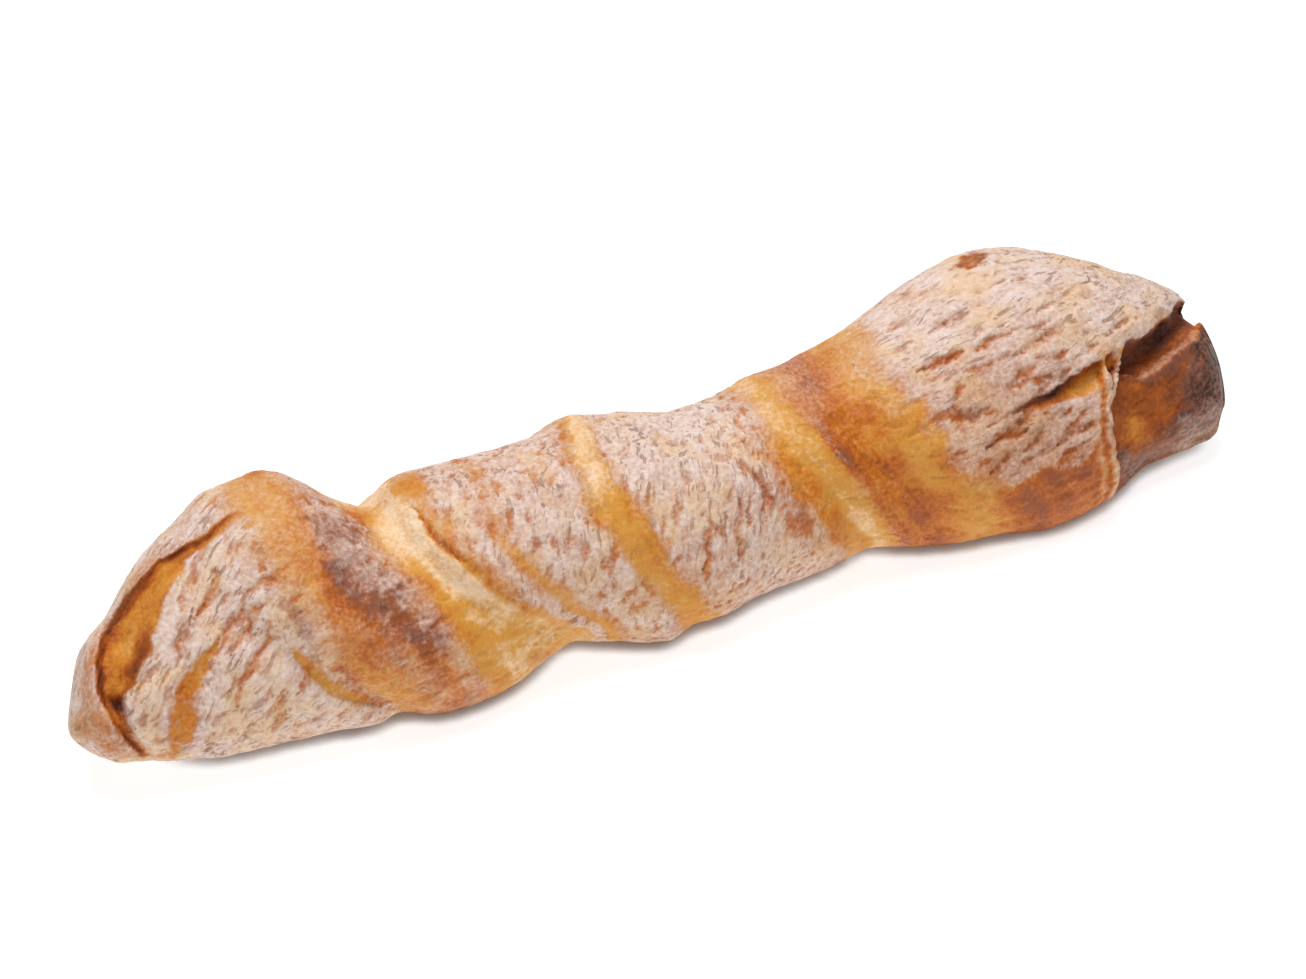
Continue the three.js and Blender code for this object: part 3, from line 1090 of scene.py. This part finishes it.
    def _tears(self, paint: Paint, crust: Surface, jitter: Array) -> None:
        """Lays the torn ends over the twisted bands.

        Args:
            paint: The paint so far.
            crust: The moved crust.
            jitter: Unevenness of the edges.
        """
        self.form.left_tear.paint(paint, crust.left, crust.front, jitter)
        self.form.slit.paint(paint, crust.slit, jitter)
        self.form.right_tear.paint(paint, crust.right, crust.face, jitter)
        paint.lay(smooth(crust.bridge, 0.3, 0.7), self.strand.uneven(0.3 * jitter))

    def _twisted(self, crust: Surface, jitter: Array, blotch: Array) -> Paint:
        """Paints the twisted bands, which go on round the back into the next but one.

        Args:
            crust: The moved crust.
            jitter: Unevenness of the edges.
            blotch: Unevenness over larger spots.

        Returns:
            The paint of the bands.
        """
        near = self._banded(crust.across, crust.count, jitter, blotch)
        following = self._banded(crust.across, crust.count + CREASES_A_TURN, jitter, blotch)
        flour, bake = (blend(first, second, crust.carried) for first, second in zip(near, following))
        return Paint(flour, bake, np.zeros_like(flour))

    def _banded(self, across: Array, count: Array, jitter: Array, blotch: Array) -> tuple[Array, Array]:
        """Flour and bake of the bands.

        Args:
            across: Places across the front, from -1 on the top outline to 1 on the bottom one.
            count: Places in the count of creases.
            jitter: Unevenness of the edges.
            blotch: Unevenness over larger spots.

        Returns:
            The flour and the bake at each place.
        """
        on_ridge = between(count, self.ridge_rise, self.ridge_fall)
        count = count + on_ridge * (self.ridge_lean * across + self.ridge_bend * across**2)
        places = np.array([band.count for band in self.bands])
        foot = smooth(across + 0.1 * jitter, 0.0, self.edge_reach)
        head = smooth(0.1 * jitter - across, 0.0, self.edge_reach)
        mixed = []
        for name, push in (("flour", 0.05 * jitter + 0.03 * blotch), ("bake", 0.04 * jitter - 0.05 * blotch)):
            rows = np.array([getattr(band, name) for band in self.bands]) / HUNDRED
            top, middle, low = (np.interp(count + push, places, rows[:, i]) for i in range(3))
            # Top, middle and foot columns blended across the front; the paler tops partly stand in for light
            # from above.
            mixed.append(blend(blend(middle, low, foot), top, head))
        flour, bake = mixed
        bare = smooth(across + 0.22 * jitter, *self.bare_foot) * smooth(count, *self.bare_foot_count)
        flour = flour * (1.0 - self.bare_share * bare)
        unrolled = np.stack([self.unrolled * count, self.unrolled * across, 0.0 * count], axis=1)
        streak = self.streak_grain.lumps(unrolled) * (1.0 - smooth(flour, 0.2, 0.5))
        bake = bake + 0.08 * bare + 0.05 * blotch + 0.05 * jitter + 0.09 * streak
        return flour, bake


@dataclass(frozen=True)
class Colour:
    """A colour as a screen shows it, each part from 0 to 255."""

    red: int
    green: int
    blue: int

    def linear(self) -> tuple[float, float, float, float]:
        """The colour in the renderer's linear light, by the screen's own (sRGB) curve.

        Returns:
            Red, green and blue from 0 to 1, and a full alpha.
        """
        parts = (part / 255.0 for part in (self.red, self.green, self.blue))
        light = [p / 12.92 if p <= 0.04045 else ((p + 0.055) / 1.055) ** 2.4 for p in parts]
        return (light[0], light[1], light[2], 1.0)


Stops = tuple[tuple[float, Colour], ...]


class Wire:
    """A socket's value, for writing shader maths as expressions."""

    def __init__(self, book: NodeBook, socket: bpy.types.NodeSocket) -> None:
        """Holds the socket and the book that its maths goes into."""
        self.book = book
        self.socket = socket

    def _math(self, operation: str, first: Wire | float, second: Wire | float) -> Wire:
        """One Math node on two values."""
        return self.book.node("ShaderNodeMath", {"operation": operation}, {0: first, 1: second})

    def __add__(self, other: Wire | float) -> Wire:
        """The sum, from either side."""
        return self._math("ADD", self, other)

    def __sub__(self, other: Wire | float) -> Wire:
        """The difference."""
        return self._math("SUBTRACT", self, other)

    def __rsub__(self, other: float) -> Wire:
        """The difference, from the right."""
        return self._math("SUBTRACT", other, self)

    def __mul__(self, other: Wire | float) -> Wire:
        """The product, from either side."""
        return self._math("MULTIPLY", self, other)

    __radd__ = __add__
    __rmul__ = __mul__

    def step(self, low: float, high: float) -> Wire:
        """A soft step from 0 at low to 1 at high."""
        settings = {"interpolation_type": "SMOOTHSTEP"}
        return self.book.node("ShaderNodeMapRange", settings, {0: self, 1: low, 2: high, 3: 0.0, 4: 1.0})


class NodeBook:
    """The nodes of one material."""

    def __init__(self, material: bpy.types.Material) -> None:
        """Starts an empty node tree.

        Args:
            material: The material that it is for.
        """
        material.use_nodes = True
        self.tree = material.node_tree
        self.tree.nodes.clear()

    def node(
        self,
        kind: str,
        settings: Mapping[str, object] | None = None,
        sockets: Mapping[int | str, object] | None = None,
        output: int | str = 0,
    ) -> Wire:
        """Adds a node.

        Args:
            kind: The node's type.
            settings: Its settings, set first. A ramp's stops are pairs of place and colour.
            sockets: Values or links of its input sockets.
            output: The output socket that is handed back.

        Returns:
            The output socket as a wire.
        """
        made = self._placed(kind, settings or {}, sockets or {})
        return Wire(self, made.outputs[output])

    def _placed(
        self, kind: str, settings: Mapping[str, object], sockets: Mapping[int | str, object]
    ) -> bpy.types.Node:
        """Adds a node with its settings and sockets set.

        Args:
            kind: The node's type.
            settings: Its settings.
            sockets: Values or links of its input sockets.

        Returns:
            The node.
        """
        made = self.tree.nodes.new(kind)
        for name, value in settings.items():
            if name == "stops":
                self._set_stops(made.color_ramp, value)
            else:
                setattr(made, name, value)
        for key, value in sockets.items():
            if isinstance(value, Wire):
                self.tree.links.new(value.socket, made.inputs[key])
            else:
                made.inputs[key].default_value = value
        return made

    @staticmethod
    def _set_stops(ramp: bpy.types.ColorRamp, stops: Stops) -> None:
        """Gives a ramp its stops.

        Args:
            ramp: The ramp.
            stops: The places and colours of its stops.
        """
        while len(ramp.elements) < len(stops):
            ramp.elements.new(1.0)
        for element, (place, colour) in zip(ramp.elements, stops):
            element.position = place
            element.color = colour.linear()

    def surface(self, shader: Wire) -> None:
        """Makes a shader the material's surface."""
        self._placed("ShaderNodeOutputMaterial", {}, {"Surface": shader})

    def vector(self, operation: str, sockets: Mapping[int | str, object]) -> Wire:
        """One Vector Math node."""
        return self.node("ShaderNodeVectorMath", {"operation": operation}, sockets)

    def mask(self, mask: Mask) -> Wire:
        """A painted mask of the mesh."""
        return self.node("ShaderNodeAttribute", {"attribute_name": mask.value}, output="Fac")

    def ramp(self, stops: Stops, value: Wire) -> Wire:
        """The colour of a ramp at a value."""
        return self.node("ShaderNodeValToRGB", {"stops": stops}, {0: value})

    def mix(self, share: Wire | float, first: Wire | Colour, second: Wire | Colour) -> Wire:
        """A colour between two others.

        Args:
            share: How far it is the second one.
            first: One colour.
            second: The other.

        Returns:
            The mixed colour.
        """
        values = [c.linear() if isinstance(c, Colour) else c for c in (first, second)]
        settings = {"data_type": "RGBA", "clamp_factor": True}
        return self.node("ShaderNodeMix", settings, {0: share, 6: values[0], 7: values[1]}, output=2)


@dataclass(frozen=True)
class Speckle:
    """Noise of the finish: its lumps to a millimetre along each direction, its detail and a soft step."""

    scale: tuple[float, float, float]
    detail: float
    low: float = 0.28
    high: float = 0.72

    def wire(self, book: NodeBook, place: Wire) -> Wire:
        """The noise at a place.

        Args:
            book: The material's nodes.
            place: Where it is read, in millimetres.

        Returns:
            A value from 0 to 1.
        """
        sized = book.vector("MULTIPLY", {0: place, 1: self.scale})
        lumps = book.node("ShaderNodeTexNoise", {}, {"Vector": sized, "Scale": 1.0, "Detail": self.detail})
        return lumps.step(self.low, self.high)


@dataclass(frozen=True)
class CrustFinish:
    """Baked crust: cream to dark brown by its bake, dusted with flour, with golden crumb where it is torn, and
    painted shade in the fine cracks of its flour.
    """

    bakes: Stops = (
        (0.00, Colour(238, 210, 172)),
        (0.14, Colour(230, 188, 138)),
        (0.30, Colour(209, 148, 60)),
        (0.45, Colour(203, 134, 46)),
        (0.60, Colour(189, 103, 18)),
        (0.69, Colour(168, 84, 18)),
        (0.77, Colour(146, 74, 28)),
        (0.85, Colour(134, 80, 60)),
        (1.00, Colour(66, 35, 18)),
    )
    crumbs: Stops = (
        (0.00, Colour(230, 180, 100)),
        (0.35, Colour(202, 128, 38)),
        (0.55, Colour(166, 82, 14)),
        (0.75, Colour(116, 54, 10)),
        (1.00, Colour(40, 20, 8)),
    )
    flour_bright: Colour = Colour(229, 212, 203)
    flour_dull: Colour = Colour(209, 180, 161)
    flour_toasted: Colour = Colour(224, 184, 128)
    dusted: Colour = Colour(158, 104, 58)
    # Grey-brown painted shade for the fine cracks in the flour.
    crack_shade: Colour = Colour(126, 94, 76)
    grain: Speckle = Speckle((0.8, 0.8, 0.8), 3.0)
    blotch: Speckle = Speckle((0.12, 0.12, 0.12), 3.0)
    dash: Speckle = Speckle((0.14, 0.5, 0.5), 2.0)
    long_crack: Speckle = Speckle((0.07, 0.46, 0.46), 2.0, 0.33, 0.40)
    fine_crack: Speckle = Speckle((0.15, 0.95, 0.95), 2.0, 0.33, 0.41)
    crack_gaps: Speckle = Speckle((0.15, 0.15, 0.15), 2.0, 0.36, 0.60)
    toasting: Speckle = Speckle((0.09, 0.09, 0.09), 3.0, 0.42, 0.66)
    sway_scale: float = 0.09
    sway_detail: float = 2.0
    sway_reach: float = 5.0
    bump_strength: float = 0.7
    bump_height: float = 0.7 * MM
    refraction: float = 1.45
    specular: float = 0.38

    def material(self) -> bpy.types.Material:
        """Builds the crust's nodes.

        Returns:
            The material.
        """
        material = bpy.data.materials.new("baked_crust")
        book = NodeBook(material)
        place = book.node("ShaderNodeTexCoord", output="Object")
        scaled = book.vector("SCALE", {0: place, "Scale": 1.0 / MM})
        face = book.node("ShaderNodeMapping", {}, {"Vector": scaled, "Rotation": (-FACE_TILT, 0.0, 0.0)})
        turned = book.node(
            "ShaderNodeVectorRotate",
            {"rotation_type": "Z_AXIS", "invert": True},
            {"Vector": self._swayed(book, face), "Angle": book.mask(Mask.LIE)},
        )
        flour = book.mask(Mask.FLOUR)
        bake = book.mask(Mask.BAKE_AND_SHADE)
        crumb = book.mask(Mask.CRUMB)
        grain = self.grain.wire(book, face)
        blotch = self.blotch.wire(book, face)
        dash = self.dash.wire(book, turned)
        crack = self._cracks(book, turned) * (0.3 + 0.7 * self.crack_gaps.wire(book, face))
        thin = 0.4 * grain + 0.25 * dash + 0.35 * blotch
        veil = flour.step(0.15, 0.75)
        patchy = (flour - 0.6 * thin + 0.3).step(0.1, 0.95)
        cover = (0.6 * patchy + 0.4 * veil) * (1.0 - 0.35 * crack)
        browned = (0.2 * crack + 0.16) * veil * (1.0 - bake)
        clean = book.ramp(self.bakes, bake + browned + 0.12 * (blotch - 0.5) + 0.12 * (grain - 0.5))
        torn = book.ramp(self.crumbs, bake + 0.2 * (blotch - 0.5) + 0.1 * (grain - 0.5))
        bare = book.mix(crumb, book.mix(0.4 * veil, clean, self.dusted), torn)
        dust = book.mix(0.5 * dash + 0.5 * grain, self.flour_bright, self.flour_dull)
        dust = book.mix(0.5 * self.toasting.wire(book, face), dust, self.flour_toasted)
        lit = book.mix(0.94 * cover, bare, dust)
        height = 0.45 * cover + 0.2 * (1.0 - dash) * flour - 0.25 * grain - 0.6 * crack * flour
        bump = {"Strength": self.bump_strength, "Distance": self.bump_height, "Height": height}
        looks = {
            # Painted shade: the fine flour cracks are darkened towards crack_shade.
            "Base Color": book.mix(0.42 * crack * veil, lit, self.crack_shade),
            "Roughness": 0.5 + 0.25 * cover + 0.25 * crumb,
            "Normal": book.node("ShaderNodeBump", {}, bump),
            "IOR": self.refraction,
            "Specular IOR Level": self.specular,
        }
        book.surface(book.node("ShaderNodeBsdfPrincipled", {}, looks))
        return material

    def _swayed(self, book: NodeBook, place: Wire) -> Wire:
        """A place moved to and fro by some millimetres, so that cracks wander.

        Args:
            book: The material's nodes.
            place: The place.

        Returns:
            The moved place.
        """
        lumps = {"Vector": place, "Scale": self.sway_scale, "Detail": self.sway_detail}
        sway = book.node("ShaderNodeTexNoise", {}, lumps, output="Color")
        around = book.vector("SUBTRACT", {0: sway, 1: (0.5, 0.5, 0.5)})
        push = book.vector("SCALE", {0: around, "Scale": self.sway_reach})
        return book.vector("ADD", {0: place, 1: push})

    def _cracks(self, book: NodeBook, turned: Wire) -> Wire:
        """Short cracks along the lie, and finer ones between them.

        Args:
            book: The material's nodes.
            turned: The place, turned to the lie.

        Returns:
            How far a place is in a crack.
        """
        long_crack = 1.0 - self.long_crack.wire(book, turned)
        fine_crack = 1.0 - self.fine_crack.wire(book, turned)
        return (long_crack + 0.7 * fine_crack).step(0.0, 1.0)


@dataclass
class Loaf:
    """The whole loaf, one piece."""

    form: LoafForm
    painter: CrustPainter
    finish: CrustFinish = CrustFinish()
    points_around: int = 226
    rings_along: int = 438
    front_crowding: float = 0.3
    name: str = "loaf_crust"

    def build(self) -> bpy.types.Object:
        """Models the crust from a ball of dough and paints its masks.

        Returns:
            The finished piece.
        """
        mesh = bpy.data.meshes.new(self.name)
        dough = bmesh.new()
        bmesh.ops.create_uvsphere(
            dough, u_segments=self.points_around, v_segments=self.rings_along, radius=1.0
        )
        dough.to_mesh(mesh)
        dough.free()
        ball = np.empty(len(mesh.vertices) * 3)
        mesh.vertices.foreach_get("co", ball)
        ball = ball.reshape(-1, 3)
        share = 1.0 - np.arccos(np.clip(ball[:, 2], -1.0, 1.0)) / math.pi
        turn = np.arctan2(ball[:, 1], ball[:, 0]) - math.pi / 2.0
        angle = turn - self.front_crowding * np.sin(turn) + math.pi / 2.0
        crust = self.form.surface(share, angle)
        mesh.vertices.foreach_set("co", (self._centred(crust.points) * MM).ravel())
        for mask, values in self.painter.masks(crust).items():
            layer = mesh.attributes.new(mask.value, "FLOAT", "POINT")
            layer.data.foreach_set("value", values.astype(np.float32))
        mesh.polygons.foreach_set("use_smooth", np.ones(len(mesh.polygons), dtype=bool))
        mesh.materials.append(self.finish.material())
        mesh.update()
        piece = bpy.data.objects.new(self.name, mesh)
        bpy.context.scene.collection.objects.link(piece)
        return piece

    @staticmethod
    def _centred(points: Array) -> Array:
        """The points with the middle of their width over the CAD loaf's.

        Args:
            points: The crust's points, in millimetres.

        Returns:
            The moved points.
        """
        low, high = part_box(CAD_NODE)
        middle = (low[1] + high[1]) / 2.0 / MM
        moved = points.copy()
        moved[:, 1] += middle - (points[:, 1].min() + points[:, 1].max()) / 2.0
        return moved

    def dress(self, piece: bpy.types.Object) -> None:
        """Attaches the piece to the body that it moves with, and hides the CAD loaf in its place.

        Args:
            piece: The finished piece.
        """
        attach(piece, CAD_BODY)
        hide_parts(CAD_NODE)


def aimed(place: Vector, target: Vector) -> Matrix:
    """The matrix of a lamp or camera at a place that looks at a target."""
    turn = (target - place).to_track_quat("-Z", "Y").to_matrix().to_4x4()
    return Matrix.Translation(place) @ turn


@dataclass(frozen=True)
class Lamp:
    """A soft square lamp, in metres and watts, aimed at the loaf."""

    name: str
    place: tuple[float, float, float]
    side: float
    watts: float
    warmth: tuple[float, float, float] = (1.0, 1.0, 1.0)

    def build(self, target: Vector) -> None:
        """Hangs the lamp.

        Args:
            target: Where it is aimed.
        """
        light = bpy.data.lights.new(self.name, "AREA")
        light.shape = "SQUARE"
        light.size = self.side
        light.energy = self.watts
        light.color = self.warmth
        lamp = bpy.data.objects.new(self.name, light)
        lamp.matrix_world = aimed(Vector(self.place), target)
        bpy.context.scene.collection.objects.link(lamp)


@dataclass
class Studio:
    """Pale floor, soft light and the camera at the photograph's angle."""

    azimuth: float = math.radians(-25.0)
    elevation: float = math.radians(42.0)
    distance: float = 2.0
    far_clip: float = 50.0
    target: tuple[float, float, float] = (-0.0015, -0.002, 0.028)
    target_pixel: tuple[float, float] = (646.0, 511.5)
    pixel_length: float = 0.2838 * MM
    sensor: float = 36.0
    floor_side: float = 8.0
    floor_grey: float = 0.4
    floor_roughness: float = 0.9
    floor_glow: float = 0.8
    floor_shade: Colour = Colour(96, 84, 76)
    white: Colour = Colour(255, 255, 255)
    shade_reach: float = 5.0 * MM
    shade_samples: int = 8
    shade_step: tuple[float, float] = (0.25, 0.75)
    sky: float = 0.27
    lamps: tuple[Lamp, ...] = (
        Lamp("key_lamp", (0.0, 0.3, 1.3), 0.9, 18.0, (1.0, 1.0, 1.03)),
        Lamp("front_lamp", (-0.3, -1.3, 0.5), 1.2, 5.2),
    )

    def build(self) -> None:
        """Makes the floor, the lamps, the sky and the camera."""
        self._floor()
        self._sky()
        target = Vector(self.target)
        for lamp in self.lamps:
            lamp.build(target)
        self._camera(target)

    def _floor(self) -> None:
        """Lays the pale glowing floor, with a painted contact shadow where its glow darkens as the loaf lies
        close to it.
        """
        mesh = bpy.data.meshes.new("studio_floor")
        sheet = bmesh.new()
        bmesh.ops.create_grid(sheet, x_segments=1, y_segments=1, size=self.floor_side / 2.0)
        sheet.to_mesh(mesh)
        sheet.free()
        material = bpy.data.materials.new("pale_floor")
        book = NodeBook(material)
        samples = {"samples": self.shade_samples}
        reach = {"Distance": self.shade_reach}
        open_sky = book.node("ShaderNodeAmbientOcclusion", samples, reach, output="AO")
        looks = {
            "Base Color": (self.floor_grey, self.floor_grey, self.floor_grey, 1.0),
            "Roughness": self.floor_roughness,
            # Painted shadow: the floor's glow darkens by ambient occlusion near the loaf.
            "Emission Color": book.mix(open_sky.step(*self.shade_step), self.floor_shade, self.white),
            "Emission Strength": self.floor_glow,
        }
        book.surface(book.node("ShaderNodeBsdfPrincipled", {}, looks))
        mesh.materials.append(material)
        floor = bpy.data.objects.new("studio_floor", mesh)
        bpy.context.scene.collection.objects.link(floor)

    def _sky(self) -> None:
        """Fills the room with even white light."""
        world = bpy.data.worlds.new("studio_sky")
        world.use_nodes = True
        background = world.node_tree.nodes["Background"]
        background.inputs["Color"].default_value = self.white.linear()
        background.inputs["Strength"].default_value = self.sky
        bpy.context.scene.world = world
        bpy.context.scene.view_settings.view_transform = "Standard"

    def _camera(self, target: Vector) -> None:
        """Sets the camera so that the target falls on its pixel of the photograph.

        Args:
            target: The point of the loaf that it looks at.
        """
        level = math.cos(self.elevation)
        look = Vector(
            (-math.sin(self.azimuth) * level, math.cos(self.azimuth) * level, -math.sin(self.elevation))
        )
        right = Vector((math.cos(self.azimuth), math.sin(self.azimuth), 0.0))
        above = right.cross(look)
        off_x = (PHOTO_SIZE[0] / 2.0 - self.target_pixel[0]) * self.pixel_length
        off_y = (self.target_pixel[1] - PHOTO_SIZE[1] / 2.0) * self.pixel_length
        aim = target + right * off_x + above * off_y
        data = bpy.data.cameras.new("photo_camera")
        data.sensor_width = self.sensor
        data.lens = self.sensor * self.distance / (PHOTO_SIZE[0] * self.pixel_length)
        data.clip_end = self.far_clip
        camera = bpy.data.objects.new("photo_camera", data)
        camera.matrix_world = aimed(aim - look * self.distance, aim)
        bpy.context.scene.collection.objects.link(camera)
        bpy.context.scene.camera = camera


def main() -> None:
    """Builds the loaf and its studio."""
    logging.basicConfig(level=logging.INFO, format="%(name)s: %(message)s")
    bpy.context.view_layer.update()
    low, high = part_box(CAD_NODE)
    form = LoafForm(length=(high[0] - low[0]) / MM)
    loaf = Loaf(form, CrustPainter(form))
    piece = loaf.build()
    loaf.dress(piece)
    LOG.info("%s: %d faces", piece.name, len(piece.data.polygons))
    Studio().build()
    LOG.info("studio: floor, lamps and camera")


if __name__ == "__main__":
    main()
